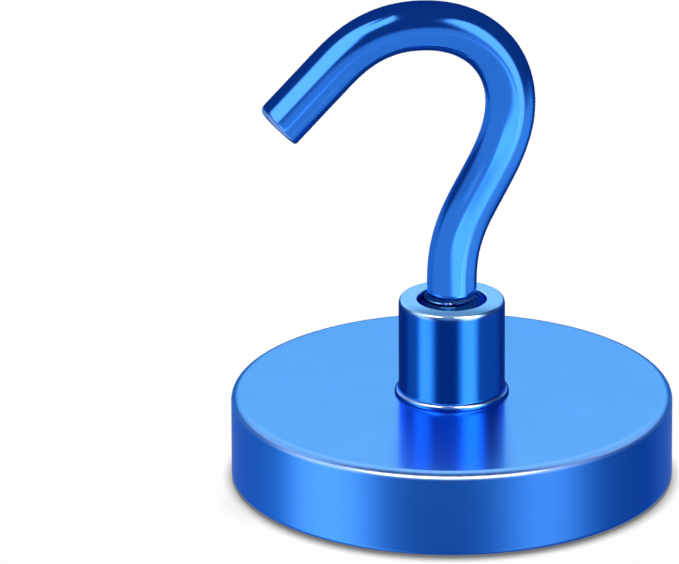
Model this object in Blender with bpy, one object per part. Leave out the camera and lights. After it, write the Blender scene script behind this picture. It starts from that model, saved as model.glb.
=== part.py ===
"""Magnetic hook: a steel cup that holds a disc magnet, a threaded boss on the cup's back, and a
bent steel hook that screws into the boss.

Everything is in metres with +Z up. The origin is the centre of the magnet's free face, which lies
in the plane of the cup's rim. The cup's axis is Z, and the hook bends in the XZ plane with its tip
towards -X. The hook turns on Z in the boss.
"""

import math

import bmesh
import bpy
import numpy as np

# Cup
CUP_DIAMETER = 0.0320
CUP_HEIGHT = 0.0064
CUP_WALL = 0.0030
CUP_FLOOR = 0.0022
CUP_TOP_ROUND = 0.0006
CUP_RIM_ROUND = 0.0004
POCKET_CHAMFER = 0.0002

# Magnet and the resin that holds it
RESIN_RING_SPACE = 0.0004
RESIN_BED_SPACE = 0.0004
RESIN_RECESS = 0.00035
MAGNET_CHAMFER = 0.00015
SEAT_GAP = 0.00005

# Thread: the hook's ridge is a standard 4 mm one, and the boss's is cut clear of it
THREAD_DIAMETER = 0.0040
THREAD_PITCH = 0.0007
THREAD_DEPTH = 0.00038
THREAD_CLEARANCE = 0.00008
THREAD_LEAD_IN = 0.0008
THREAD_RUN_OUT = 0.0001
# Height of the ridge at each share of one pitch: root, root, crest, crest
RIDGE_SHARES = ((0.0, 0.0), (0.25, 0.0), (0.5625, 1.0), (0.6875, 1.0))

# Boss: its walls are measured from the bottom of its thread
BOSS_HEIGHT = 0.0072
BOSS_WALL = 0.00139
BOSS_ROUND_WIDTH = 0.0002
BOSS_ROUND_HEIGHT = 0.0004
BEAD_WIDTH = 0.0003
BEAD_HEIGHT = 0.00045
BEAD_FILLET = 0.0002
MOUTH_MARGIN = 0.00006
MOUTH_DEPTH = 0.0009
MOUTH_CHAMFER = 0.00008
SPIGOT_WALL = 0.00064
LIP_WIDTH = 0.0005

# Hook: a straight stem, then three eased bends with straight stretches between them
ROD_DIAMETER = 0.0036
SHOULDER_RISE = 0.00045
SHOULDER_ROUND_WIDTH = 0.00015
SHOULDER_ROUND_HEIGHT = 0.00035
STUD_SETBACK = 0.0018
STEM_RISE = 0.00063
NECK_BEND_LENGTH = 0.0076
NECK_BEND_DEGREES = -28.8
NECK_STRAIGHT = 0.00114
CROWN_BEND_LENGTH = 0.0200
CROWN_BEND_DEGREES = 125.9
NOSE_BEND_OVERLAP = 0.00324
NOSE_BEND_LENGTH = 0.0076
NOSE_BEND_DEGREES = 37.8
TIP_STRAIGHT = 0.00525
TIP_OUTER_ROUND = 0.00055
TIP_INNER_ROUND = 0.00015

# How finely the round shapes are divided
CUP_SIDES = 72
BOSS_SIDES = 48
THREAD_SIDES = 24
TAP_TURN_SHARE = 0.25
ROD_SIDES = 24
ROD_RINGS = 50
PATH_STEPS_PER_RING = 20
ROUND_STEPS = 4
END_STEPS = 3

MERGE_DISTANCE = 0.0000005
CUT_OVERRUN = 0.0010
SHARP_ANGLE = math.radians(30)

# Finishes: linear colour, metallic value and roughness
BLUE_LACQUER = ((0.020, 0.190, 0.720, 1.0), 0.9, 0.22)
NICKEL_PLATE = ((0.640, 0.680, 0.720, 1.0), 1.0, 0.38)
BLACK_RESIN = ((0.020, 0.022, 0.026, 1.0), 0.0, 0.45)

# Radii and heights that follow from the sizes above
cup_radius = CUP_DIAMETER / 2
pocket_radius = cup_radius - CUP_WALL
pocket_top = CUP_HEIGHT - CUP_FLOOR
magnet_radius = pocket_radius - RESIN_RING_SPACE
magnet_top = pocket_top - RESIN_BED_SPACE
ridge_radius = THREAD_DIAMETER / 2
stud_core_radius = ridge_radius - THREAD_DEPTH
tap_core_radius = ridge_radius + THREAD_CLEARANCE
tap_ridge_radius = tap_core_radius + THREAD_DEPTH
boss_radius = tap_ridge_radius + BOSS_WALL
boss_top = CUP_HEIGHT + BOSS_HEIGHT
mouth_radius = tap_ridge_radius + MOUTH_MARGIN
mouth_floor = boss_top - MOUTH_DEPTH
spigot_radius = tap_ridge_radius + SPIGOT_WALL
rod_radius = ROD_DIAMETER / 2
shoulder_height = boss_top + SHOULDER_RISE
stud_foot = pocket_top + STUD_SETBACK


def clear_scene():
    for item in list(bpy.data.objects):
        bpy.data.objects.remove(item)


def material(name, finish):
    colour, metallic, roughness = finish
    made = bpy.data.materials.new(name)
    made.use_nodes = True
    made.diffuse_color = colour
    shader = made.node_tree.nodes["Principled BSDF"]
    shader.inputs["Base Color"].default_value = colour
    shader.inputs["Metallic"].default_value = metallic
    shader.inputs["Roughness"].default_value = roughness
    return made


def new_object(name, mesh, parent=None, height=0.0):
    """An object on the Z axis at a world height, whose mesh is drawn about that point."""
    item = bpy.data.objects.new(name, mesh)
    bpy.context.collection.objects.link(item)
    item.location.z = height
    if parent:
        item.parent = parent
        item.location.z = height - parent.location.z
    return item


def mesh_from(name, shape):
    """Turns a bmesh into a mesh with its faces pointing outwards."""
    bmesh.ops.recalc_face_normals(shape, faces=shape.faces)
    mesh = bpy.data.meshes.new(name)
    shape.to_mesh(mesh)
    shape.free()
    return mesh


def ellipse_arc(radius_at, height_at, width, height, start, end, steps=ROUND_STEPS):
    """Points (radius, height) on part of an ellipse, from one angle to another in degrees."""
    angles = np.radians(np.linspace(start, end, steps + 1))
    return [(radius_at + width * math.cos(a), height_at + height * math.sin(a)) for a in angles]


def arc(radius_at, height_at, radius, start, end, steps=ROUND_STEPS):
    """The same, round."""
    return ellipse_arc(radius_at, height_at, radius, radius, start, end, steps)


def turned(name, profile, sides, parent=None, height=0.0):
    """A solid of revolution. The profile runs outwards along the top and down the outer side.

    A profile that starts and ends on the axis closes there. Any other one closes on itself.
    """
    count = len(profile)
    on_axis = profile[0][0] == 0 and profile[-1][0] == 0
    shape = bmesh.new()
    corners = [shape.verts.new((radius, 0, up - height)) for radius, up in profile]
    for index in range(count - 1 if on_axis else count):
        shape.edges.new((corners[index], corners[(index + 1) % count]))
    mesh = bpy.data.meshes.new(name)
    shape.to_mesh(mesh)
    shape.free()
    item = new_object(name, mesh, parent, height)
    screw = item.modifiers.new("turn", "SCREW")
    screw.axis = "Z"
    screw.steps = sides
    screw.render_steps = sides
    screw.use_merge_vertices = True
    screw.merge_threshold = MERGE_DISTANCE
    return item


def add_loft(shape, rings, height):
    """Adds the side faces through rings of points, each ring with the same number of points."""
    loops = [[shape.verts.new((x, y, z - height)) for x, y, z in ring] for ring in rings]
    for low, high in zip(loops, loops[1:]):
        for index in range(len(low)):
            after = (index + 1) % len(low)
            shape.faces.new((low[index], low[after], high[after], high[index]))


def add_thread(shape, core_radius, low, high, lead_in, run_out, height, turn_share=0.0):
    """Adds the side faces of a round bar with a right-hand ridge that rises over its lead-in.

    Each row of points follows the helix: it climbs one pitch a turn, so it meets the row that
    starts one pitch higher. Heights are held between low and high, where the surplus points fall
    together and are merged. turn_share turns the points by a share of one side.
    """
    rows_per_pitch = len(RIDGE_SHARES)
    pitches = math.ceil((high - low) / THREAD_PITCH) + 3
    rows = []
    for row in range(pitches * rows_per_pitch):
        share, ridge = RIDGE_SHARES[row % rows_per_pitch]
        points = []
        for side in range(THREAD_SIDES):
            pitches_up = row // rows_per_pitch - 1 + share + side / THREAD_SIDES
            up = min(max(low + THREAD_PITCH * pitches_up, low), high)
            fade = min((up - low) / lead_in, (high - up) / run_out, 1.0)
            radius = core_radius + THREAD_DEPTH * ridge * fade
            turn = 2 * math.pi * (side + turn_share) / THREAD_SIDES
            points.append(shape.verts.new((radius * math.cos(turn), radius * math.sin(turn), up - height)))
        rows.append(points)
    for row in range(len(rows) - 1):
        for side in range(THREAD_SIDES - 1):
            below, above = rows[row], rows[row + 1]
            shape.faces.new((below[side], below[side + 1], above[side + 1], above[side]))
    for row in range(len(rows) - 1 - rows_per_pitch):
        first, second = rows[row][-1], rows[row + 1][-1]
        third, fourth = rows[row + 1 + rows_per_pitch][0], rows[row + rows_per_pitch][0]
        shape.faces.new((first, fourth, third, second))
    bmesh.ops.remove_doubles(shape, verts=shape.verts, dist=MERGE_DISTANCE)


def close_ends(shape):
    """Fills each loop of open edges with a face."""
    bmesh.ops.holes_fill(shape, edges=[edge for edge in shape.edges if edge.is_boundary])


def cut_away(item, cutter):
    """Cuts another solid away from this one and removes it."""
    cut = item.modifiers.new(cutter.name, "BOOLEAN")
    cut.operation = "DIFFERENCE"
    cut.solver = "EXACT"
    cut.object = cutter
    settle(item)
    bpy.data.objects.remove(cutter)


def settle(item):
    """Applies an object's modifiers."""
    bpy.context.view_layer.update()
    seen = item.evaluated_get(bpy.context.evaluated_depsgraph_get())
    mesh = bpy.data.meshes.new_from_object(seen)
    item.modifiers.clear()
    item.data = mesh


def finish(item, made):
    """Gives an object its material and smooth shading that keeps its sharp edges."""
    settle(item)
    item.data.materials.clear()
    item.data.materials.append(made)
    item.data.shade_smooth()
    item.data.set_sharp_from_angle(angle=SHARP_ANGLE)


def cup(parent):
    """The steel pot: a round cup with its open side down and a countersunk hole through its floor."""
    hole_radius = spigot_radius + SEAT_GAP
    profile = [(hole_radius, CUP_HEIGHT)]
    profile += arc(cup_radius - CUP_TOP_ROUND, CUP_HEIGHT - CUP_TOP_ROUND, CUP_TOP_ROUND, 90, 0)
    profile += arc(cup_radius - CUP_RIM_ROUND, CUP_RIM_ROUND, CUP_RIM_ROUND, 0, -90, ROUND_STEPS // 2)
    profile += [(pocket_radius + POCKET_CHAMFER, 0), (pocket_radius, POCKET_CHAMFER)]
    profile += [(pocket_radius, pocket_top), (hole_radius + LIP_WIDTH, pocket_top)]
    profile += [(hole_radius, pocket_top + LIP_WIDTH)]
    finish(turned("cup", profile, CUP_SIDES, parent), material("cup_blue", BLUE_LACQUER))


def magnet(parent):
    """The disc magnet, flush with the cup's rim."""
    edge = magnet_radius - MAGNET_CHAMFER
    profile = [(0, magnet_top), (edge, magnet_top), (magnet_radius, magnet_top - MAGNET_CHAMFER)]
    profile += [(magnet_radius, MAGNET_CHAMFER), (edge, 0), (0, 0)]
    finish(turned("magnet_disc", profile, CUP_SIDES, parent), material("magnet_nickel", NICKEL_PLATE))


def resin(parent):
    """The resin that bonds the magnet: a bed behind it and a ring round it, open to the front."""
    outer, inner = pocket_radius - SEAT_GAP, magnet_radius + SEAT_GAP
    top, bed = pocket_top - SEAT_GAP, magnet_top + SEAT_GAP
    profile = [(0, top), (outer, top), (outer, RESIN_RECESS)]
    profile += [(inner, RESIN_RECESS), (inner, bed), (0, bed)]
    finish(turned("resin_bond", profile, CUP_SIDES, parent), material("resin_black", BLACK_RESIN))


def boss(parent):
    """The turned bush: it stands on the cup with a bead at its foot, and its spigot is flared
    under the cup's floor. A wider mouth leads to the thread."""
    seat = CUP_HEIGHT + SEAT_GAP
    bead_top = seat + BEAD_HEIGHT
    profile = [(0, mouth_floor), (mouth_radius, mouth_floor), (mouth_radius, boss_top - MOUTH_CHAMFER)]
    profile += [(mouth_radius + MOUTH_CHAMFER, boss_top)]
    round_radius, round_height = boss_radius - BOSS_ROUND_WIDTH, boss_top - BOSS_ROUND_HEIGHT
    profile += ellipse_arc(round_radius, round_height, BOSS_ROUND_WIDTH, BOSS_ROUND_HEIGHT, 90, 0)
    profile += arc(boss_radius + BEAD_FILLET, bead_top + BEAD_FILLET, BEAD_FILLET, 180, 230, ROUND_STEPS // 2)
    profile += ellipse_arc(boss_radius, seat, BEAD_WIDTH, BEAD_HEIGHT, 70, 0)
    profile += [(spigot_radius, seat), (spigot_radius, pocket_top + LIP_WIDTH)]
    profile += [(spigot_radius + LIP_WIDTH, pocket_top), (0, pocket_top)]
    item = turned("threaded_boss", profile, BOSS_SIDES, parent, CUP_HEIGHT)
    low, high = pocket_top - CUT_OVERRUN, mouth_floor + MOUTH_DEPTH / 2
    shape = bmesh.new()
    add_thread(shape, tap_core_radius, low, high, THREAD_RUN_OUT, THREAD_RUN_OUT, CUP_HEIGHT, TAP_TURN_SHARE)
    close_ends(shape)
    cut_away(item, new_object("tap", mesh_from("tap", shape), parent, CUP_HEIGHT))
    finish(item, material("boss_blue", BLUE_LACQUER))


def eased(share):
    """0 to 1 with a gentle start and end, so that a bend runs smoothly into what it joins."""
    held = np.clip(share, 0, 1)
    return held * held * (3 - 2 * held)


def hook_path(rings):
    """Points and directions of the rod's centreline in the XZ plane, from shoulder to tip.

    The direction is upwards and each bend adds its turn as the path goes by. The points are the
    sum of short steps in that direction.
    """
    neck_start = STEM_RISE - SHOULDER_RISE
    crown_start = neck_start + NECK_BEND_LENGTH + NECK_STRAIGHT
    nose_start = crown_start + CROWN_BEND_LENGTH - NOSE_BEND_OVERLAP
    length = nose_start + NOSE_BEND_LENGTH + TIP_STRAIGHT
    bends = (
        (neck_start, NECK_BEND_LENGTH, NECK_BEND_DEGREES),
        (crown_start, CROWN_BEND_LENGTH, CROWN_BEND_DEGREES),
        (nose_start, NOSE_BEND_LENGTH, NOSE_BEND_DEGREES),
    )
    along = np.linspace(0, length, rings * PATH_STEPS_PER_RING + 1)
    direction = np.full_like(along, math.pi / 2)
    for start, bend_length, degrees in bends:
        direction += math.radians(degrees) * eased((along - start) / bend_length)
    middle = (direction[1:] + direction[:-1]) / 2
    step = np.diff(along)
    x = np.concatenate([[0], np.cumsum(step * np.cos(middle))])
    z = shoulder_height + np.concatenate([[0], np.cumsum(step * np.sin(middle))])
    return along, direction, x, z


def rod_ring(x, z, direction, radii, forward):
    """A ring across the rod. Side 0 is on the outer side of the hook's bow."""
    around = 2 * np.pi * np.arange(ROD_SIDES) / ROD_SIDES
    outwards = radii * np.cos(around)
    xs = x + outwards * math.sin(direction) + forward * math.cos(direction)
    zs = z - outwards * math.cos(direction) + forward * math.sin(direction)
    return np.stack([xs, radii * np.sin(around), zs], axis=1)


def hook(parent):
    """The bent rod with its threaded stud, in one piece. Its origin is on the axis it turns on."""
    along, direction, x, z = hook_path(ROD_RINGS)
    full = np.full(ROD_SIDES, rod_radius)
    level = np.zeros(ROD_SIDES)
    rings = []
    for angle in np.linspace(0, np.pi / 2, END_STEPS + 1):
        radii = full - SHOULDER_ROUND_WIDTH * (1 - math.sin(angle))
        rise = level + SHOULDER_ROUND_HEIGHT * (1 - math.cos(angle))
        rings += [rod_ring(x[0], z[0], direction[0], radii, rise)]
    straight_end = along[-1] - TIP_OUTER_ROUND
    for index in range(PATH_STEPS_PER_RING, len(along), PATH_STEPS_PER_RING):
        if along[index] < straight_end:
            rings += [rod_ring(x[index], z[index], direction[index], full, level)]
    around = 2 * np.pi * np.arange(ROD_SIDES) / ROD_SIDES
    outer_share = (1 + np.cos(around)) / 2
    corner = TIP_INNER_ROUND + (TIP_OUTER_ROUND - TIP_INNER_ROUND) * outer_share
    for angle in np.linspace(0, np.pi / 2, END_STEPS + 1):
        radii = rod_radius - corner * (1 - math.cos(angle))
        rings += [rod_ring(x[-1], z[-1], direction[-1], radii, -corner * (1 - math.sin(angle)))]
    shape = bmesh.new()
    add_thread(shape, stud_core_radius, stud_foot, shoulder_height, THREAD_LEAD_IN, THREAD_RUN_OUT, boss_top)
    add_loft(shape, rings, boss_top)
    shoulder = shoulder_height - boss_top
    open_edges = [edge for edge in shape.edges if edge.is_boundary]
    level_edges = [e for e in open_edges if all(abs(v.co.z - shoulder) < MERGE_DISTANCE for v in e.verts)]
    bmesh.ops.bridge_loops(shape, edges=level_edges)
    close_ends(shape)
    finish(new_object("hook", mesh_from("hook", shape), parent, boss_top), material("hook_blue", BLUE_LACQUER))


def main():
    clear_scene()
    base = new_object("magnetic_hook", None)
    cup(base)
    magnet(base)
    resin(base)
    boss(base)
    turning = new_object("hook_turn_axis", None, base, boss_top)
    hook(turning)


main()
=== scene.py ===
"""Magnetic hook: the visual pieces, their finishes and the table that they stand on.

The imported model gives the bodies. Each CAD node is replaced by a finer surface of the same size,
worked out with numpy in metres, in the same frame: +Z is the cup's axis, the origin is the centre
of the magnet's free face, and the hook bends in the XZ plane with its tip towards -X.
"""

import math

import bmesh
import bpy
import numpy as np
from bpy.props import FloatProperty, FloatVectorProperty, IntProperty, PointerProperty
from mathutils import Matrix, Vector


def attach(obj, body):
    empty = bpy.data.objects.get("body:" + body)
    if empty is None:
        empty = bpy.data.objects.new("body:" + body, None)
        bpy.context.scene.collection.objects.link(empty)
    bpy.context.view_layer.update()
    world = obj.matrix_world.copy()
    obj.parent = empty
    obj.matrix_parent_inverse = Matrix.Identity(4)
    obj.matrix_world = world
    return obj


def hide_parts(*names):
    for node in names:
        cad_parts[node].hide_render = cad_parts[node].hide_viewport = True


bl_info = {
    "name": "Magnetic hook",
    "version": (1, 0, 0),
    "blender": (4, 5, 0),
    "location": "View3D > Sidebar > Hook",
    "description": "Builds a pot magnet with a threaded boss and a bent hook, finished in blue lacquer",
    "category": "Object",
}

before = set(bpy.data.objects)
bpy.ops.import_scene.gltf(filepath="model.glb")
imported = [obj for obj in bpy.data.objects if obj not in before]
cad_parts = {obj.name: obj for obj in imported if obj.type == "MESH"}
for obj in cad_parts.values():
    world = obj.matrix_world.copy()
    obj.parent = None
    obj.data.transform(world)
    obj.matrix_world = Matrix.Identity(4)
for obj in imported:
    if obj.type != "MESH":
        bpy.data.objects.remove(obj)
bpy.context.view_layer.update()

MM = 0.001

# Where the camera stood: degrees round the hook and above the table, and metres away
CAMERA_AZIMUTH = -15.0
CAMERA_ELEVATION = 22.07
CAMERA_DISTANCE = 0.800
CAMERA_LENS = 583.2
SENSOR_WIDTH = 36.0
IMAGE_WIDTH = 679
# The picture's centre, in pixels right of and above the origin
AIM_RIGHT = -112.28
AIM_UP = 190.55

# Height of the thread's ridge at each share of one pitch
RIDGE = (
    (0.0, 0.0),
    (0.25, 0.0),
    (0.30, 0.09),
    (0.51, 0.90),
    (0.565, 1.0),
    (0.685, 1.0),
    (0.74, 0.90),
    (0.95, 0.09),
)

# Small details of the pieces
FINE_STEPS = 12
COARSE_STEPS = 6
HOLD = 0.02 * MM
HELD_STRETCH = 5 * HOLD
POCKET_CHAMFER = 0.2 * MM
LIP_WIDTH = 0.5 * MM
MAGNET_ROUND = 0.15 * MM
MENISCUS = 0.10 * MM
BEAD_WIDTH = 0.30 * MM
BEAD_HEIGHT = 0.36 * MM
BEAD_FILLET = 0.08 * MM
BOSS_ROUND_WIDTH = 0.20 * MM
BOSS_ROUND_HEIGHT = 0.40 * MM
MOUTH_CHAMFER = 0.08 * MM
THREAD_LEAD_IN = 0.8 * MM
THREAD_RUN_OUT = 0.1 * MM
SPARE_TURNS = 2
SHOULDER_RISE = 0.45 * MM
SHOULDER_ROUND_WIDTH = 0.15 * MM
SHOULDER_ROUND_HEIGHT = 0.35 * MM
STUD_SETBACK = 1.8 * MM
TIP_STRAIGHT = 5.25 * MM
TIP_OUTER_ROUND = 0.55 * MM
TIP_INNER_ROUND = 0.15 * MM

# How far the edges take the pale edge colour, 0 to 1: partly worn thin lacquer, partly a painted highlight.
# Round the cup's back it is strongest at this share of the rounding's points, and gone again at this share
# either side of it
WEAR_AND_HIGHLIGHT_AT_CUP = 0.18
WEAR_AND_HIGHLIGHT_CUP_CENTRE = 0.72
WEAR_AND_HIGHLIGHT_CUP_REACH = 0.28
WEAR_AND_HIGHLIGHT_AT_BOSS = 0.03
WEAR_AND_HIGHLIGHT_AT_MOUTH = 0.2
WEAR_AND_HIGHLIGHT_AT_BEAD = 0.45
WEAR_AND_HIGHLIGHT_AT_TIP = 0.5
WEAR_AND_HIGHLIGHT_AT_CREST = 0.45
CREST_SHARE = 0.95

# Roughness of the walls and of the turned faces, and the lathe's rings in each metre
CUP_FINISH = (0.30, 0.18, 7000.0)
BOSS_FINISH = (0.14, 0.12, 9000.0)
HOOK_FINISH = (0.08, 0.08, 2500.0)
RING_ROUGHNESS = 0.05
EDGE_TINT = (0.15, 0.50, 1.0)
COAT = 0.20
COAT_ROUGHNESS = 0.06
LATHE_DEPTH = 0.004 * MM
PEEL_DEPTH = 0.004 * MM
GRAIN_DEPTH = 0.008 * MM
RIPPLE_DEPTH = 0.03 * MM
# How much of each colour is left in the painted shade of the boss's mouth, the thread's roots and the
# hook's shoulder
PAINTED_SHADE_SHARE = (1.0, 0.95, 0.70)
# How far the clouds and flakes spread the lacquer's brightness, and what they start from
SPECKLE = (0.10, 0.95)
RESIN_CLOUD = 2.2

# The hook's three bends: where each starts on the path, its length and its turn in degrees
BENDS = ((0.18 * MM, 7.6 * MM, -28.8), (8.92 * MM, 20.0 * MM, 125.9), (25.68 * MM, 7.6 * MM, 37.8))
PATH_STEPS = 1000
RING_STEP = 5

# Softboxes, by the pieces they light: strength, half width and softness in degrees, and the line that
# the box follows, in degrees right of the camera and above the table
SOFTBOXES = {
    ("cup_shell",): (
        ("all round", 0.14, 60, 30, ((-180, -50), (180, -50))),
        ("left side", 0.36, 34, 30, ((-200, -30), (-125, -30))),
        ("left strip", 1.50, 27, 36, ((-68, -50), (-68, 0))),
        ("right strip", 1.20, 22, 44, ((50, -50), (50, 0))),
        ("upper panel", 0.86, 40, 16, ((104, 54), (256, 54))),
        ("front panel", 0.75, 11, 8, ((-55, 20), (55, 20))),
        ("ceiling", 0.80, 11, 8, ((-180, 90), (180, 90))),
    ),
    ("boss",): (
        ("left side", 0.22, 20, 20, ((-100, -60), (-88, -10))),
        ("left strip, low", 1.35, 18, 22, ((-59, -60), (-59, -12))),
        ("left strip, high", 1.25, 24, 36, ((-70, 20), (-70, 40))),
        ("front, high", 0.35, 22, 20, ((-12, 25), (5, 25))),
        ("right side", 0.23, 25, 20, ((75, -40), (105, -40))),
        ("right strip, low", 1.45, 19, 22, ((38, -60), (38, -12))),
        ("right strip, high", 2.20, 24, 36, ((45, 20), (45, 40))),
        ("left back", 0.50, 30, 30, ((-160, 40), (-120, 40))),
        ("ceiling", 0.80, 14, 8, ((-180, 90), (180, 90))),
        ("left edge light", 3.2, 12, 10, ((-72, 57), (-42, 57))),
        ("right edge light", 3.2, 12, 10, ((22, 57), (52, 57))),
    ),
    ("bent_hook",): (
        ("left wall", 0.50, 25, 14, ((-80, -4), (-30, -4), (-5, -10), (30, -18))),
        ("low wall", 0.48, 45, 30, ((-72, -35), (-20, -50), (60, -60))),
        ("right wall", 0.62, 14, 16, ((60, -32), (115, -26))),
        ("left window", 1.36, 23, 12, ((-74, 58), (-34, 36))),
        ("top window", 1.36, 17, 12, ((-54, 51), (0, 71))),
        ("right strip", 1.34, 14, 8, ((55, -16), (58, 30))),
        ("left back", 0.45, 14, 12, ((-148, -16), (-119, -10))),
    ),
    ("magnet", "resin_ring"): (("floor glow", 0.8, 60, 30, ((-180, -60), (180, -60))),),
}
# A strip on the same sphere that only the hook's stem mirrors: what lies further from it than this,
# along the mirrored ray, sees the wall behind
STEM_STRIP = (("stem strip", 1.15, 8, 7, ((-14, -4), (0, -12), (14, -18), (28, -23), (40, -25))),)
STEM_REACH = (3.0 * MM, 5.5 * MM)
# The panel behind the boss, which the stem hides from the front of the boss's top
BOSS_PANEL = (("back panel", 0.62, 16, 10, ((140, 22), (220, 22))),)
BOSS_PANEL_REACH = (0.2 * MM, 2.2 * MM)
# The bright strip that only the front of the cup's rim mirrors
RIM_STRIP = (("rim strip", 4.2, 17, 9, ((-34, 31), (30, 31))),)
RIM_REACH = (-10.3 * MM, -9.2 * MM)
TABLE_DROP = 0.02 * MM
TABLE_LAMP_SIZE = 0.20
TABLE_LAMP_PLACE = (180.0, 85.5)
DOME_RADIUS = 0.90
# Even glow between the softboxes, and the powers of the glow that give its red, green and blue, so
# that what is dim is bluer
ROOM_GLOW = 0.23
GLOW_POWERS = (2.0, 1.5, 1.0)
DOME_SPACE = 0.02
DOME_HEIGHT = 0.012
DOME_COLUMNS = 180
DOME_ROWS = 90
STAGE_SIDES = 96
STAGE_ROWS = 48
PAPER_NEAR = 0.15
PAPER_FAR = 0.50
BACKDROP_SHARE = 1.2

MERGE_DISTANCE = 0.0000002
SHARP_ANGLE = math.radians(32)
TURN = 2 * math.pi


class HookSizes(bpy.types.PropertyGroup):
    """Sizes of the cup, the boss, the thread and the rod."""

    cup_diameter: FloatProperty(
        name="Cup diameter", description="Across the steel cup", default=32.0 * MM, unit="LENGTH"
    )
    cup_height: FloatProperty(
        name="Cup height", description="From the magnet's face to the cup's back", default=6.4 * MM,
        unit="LENGTH",
    )
    cup_wall: FloatProperty(
        name="Cup wall", description="Thickness of the cup's side", default=3.0 * MM, unit="LENGTH"
    )
    cup_floor: FloatProperty(
        name="Cup floor", description="Thickness of the cup's back", default=2.2 * MM, unit="LENGTH"
    )
    cup_top_round: FloatProperty(
        name="Cup top round", description="Radius of the edge round the cup's back", default=0.6 * MM,
        unit="LENGTH",
    )
    cup_rim_round: FloatProperty(
        name="Cup rim round", description="Radius of the edge round the cup's rim", default=0.4 * MM,
        unit="LENGTH",
    )
    resin_space: FloatProperty(
        name="Resin space", description="Resin round the magnet and behind it", default=0.4 * MM,
        unit="LENGTH",
    )
    resin_recess: FloatProperty(
        name="Resin recess", description="How far the resin lies behind the rim", default=0.35 * MM,
        unit="LENGTH",
    )
    seat_gap: FloatProperty(
        name="Seat gap", description="Space between pieces that are pressed together", default=0.05 * MM,
        unit="LENGTH",
    )
    boss_height: FloatProperty(
        name="Boss height", description="How far the boss stands above the cup", default=7.2 * MM,
        unit="LENGTH",
    )
    boss_radius: FloatProperty(
        name="Boss radius", description="Half the boss's width", default=3.85 * MM, unit="LENGTH"
    )
    mouth_radius: FloatProperty(
        name="Mouth radius", description="Half the width of the boss's mouth", default=2.52 * MM,
        unit="LENGTH",
    )
    mouth_depth: FloatProperty(
        name="Mouth depth", description="From the boss's top down to its thread", default=0.9 * MM,
        unit="LENGTH",
    )
    spigot_radius: FloatProperty(
        name="Spigot radius", description="Half the width of the boss's foot in the cup", default=3.10 * MM,
        unit="LENGTH",
    )
    thread_diameter: FloatProperty(
        name="Thread diameter", description="Across the crests of the hook's thread", default=4.0 * MM,
        unit="LENGTH",
    )
    thread_pitch: FloatProperty(
        name="Thread pitch", description="Rise of the thread in one turn", default=0.7 * MM, unit="LENGTH"
    )
    thread_depth: FloatProperty(
        name="Thread depth", description="From a crest to the root", default=0.38 * MM, unit="LENGTH"
    )
    thread_clearance: FloatProperty(
        name="Thread clearance", description="Space between the two threads", default=0.08 * MM,
        unit="LENGTH",
    )
    rod_diameter: FloatProperty(
        name="Rod diameter", description="Across the hook's rod", default=3.6 * MM, unit="LENGTH"
    )
    sides: IntProperty(
        name="Sides", description="How many sides a turned surface has", default=144, min=24, max=288
    )


class HookColours(bpy.types.PropertyGroup):
    """Colours of the finishes, linear."""

    cup_wall: FloatVectorProperty(
        name="Cup wall", description="Lacquer on the cup's side", subtype="COLOR",
        default=(0.022, 0.185, 0.76),
    )
    # The cup's back: the same lacquer, paler as a painted highlight
    cup_face_painted_highlight: FloatVectorProperty(
        name="Cup back", description="Lacquer on the cup's turned back, paler as a painted highlight", subtype="COLOR",
        default=(0.18, 0.46, 0.95),
    )
    boss_wall: FloatVectorProperty(
        name="Boss wall", description="Lacquer on the boss's side", subtype="COLOR",
        default=(0.008, 0.170, 0.80),
    )
    # The boss's top: the same lacquer, paler as a painted highlight
    boss_face_painted_highlight: FloatVectorProperty(
        name="Boss top", description="Lacquer on the boss's top, paler as a painted highlight", subtype="COLOR",
        default=(0.50, 0.80, 0.98),
    )
    rod: FloatVectorProperty(
        name="Hook", description="Lacquer on the bent rod", subtype="COLOR", default=(0.038, 0.25, 0.90)
    )
    # Pale edge colour: partly worn lacquer, partly a painted highlight on the edges, the thread's crests
    # and the tip
    edge: FloatVectorProperty(
        name="Worn edges and painted highlights", description="Where the lacquer is thin, and where a highlight is painted", subtype="COLOR",
        default=(0.70, 0.86, 1.0),
    )
    nickel: FloatVectorProperty(
        name="Magnet", description="Nickel plate on the magnet", subtype="COLOR",
        default=(0.69, 0.77, 0.81),
    )
    resin: FloatVectorProperty(
        name="Resin", description="Cast resin round the magnet", subtype="COLOR",
        default=(0.020, 0.022, 0.026),
    )


class HookStage(bpy.types.PropertyGroup):
    """The table and the light on it."""

    floor: FloatVectorProperty(
        name="Table", description="Colour of the pale table", subtype="COLOR", default=(0.92, 0.92, 0.92)
    )
    room: FloatProperty(
        name="Room light", description="Strength of the even light from all round", default=0.2, min=0.0
    )
    table_light: FloatProperty(
        name="Table light", description="Power of the lamp over the table, in watts", default=7.1, min=0.0
    )
    radius: FloatProperty(
        name="Stage radius", description="Half the width of the table", default=1.2, unit="LENGTH"
    )


def settings():
    """The scene's sizes, colours and stage values."""
    scene = bpy.context.scene
    return scene.hook_sizes, scene.hook_colours, scene.hook_stage


# Surfaces


def grid_faces(rows, columns, first):
    """Quads between the neighbours of a grid of points."""
    low, left = np.meshgrid(np.arange(rows - 1), np.arange(columns - 1), indexing="ij")
    corner = low * columns + left
    quads = np.stack([corner, corner + 1, corner + columns + 1, corner + columns], axis=-1)
    return first + quads.reshape(-1, 4)


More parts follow.
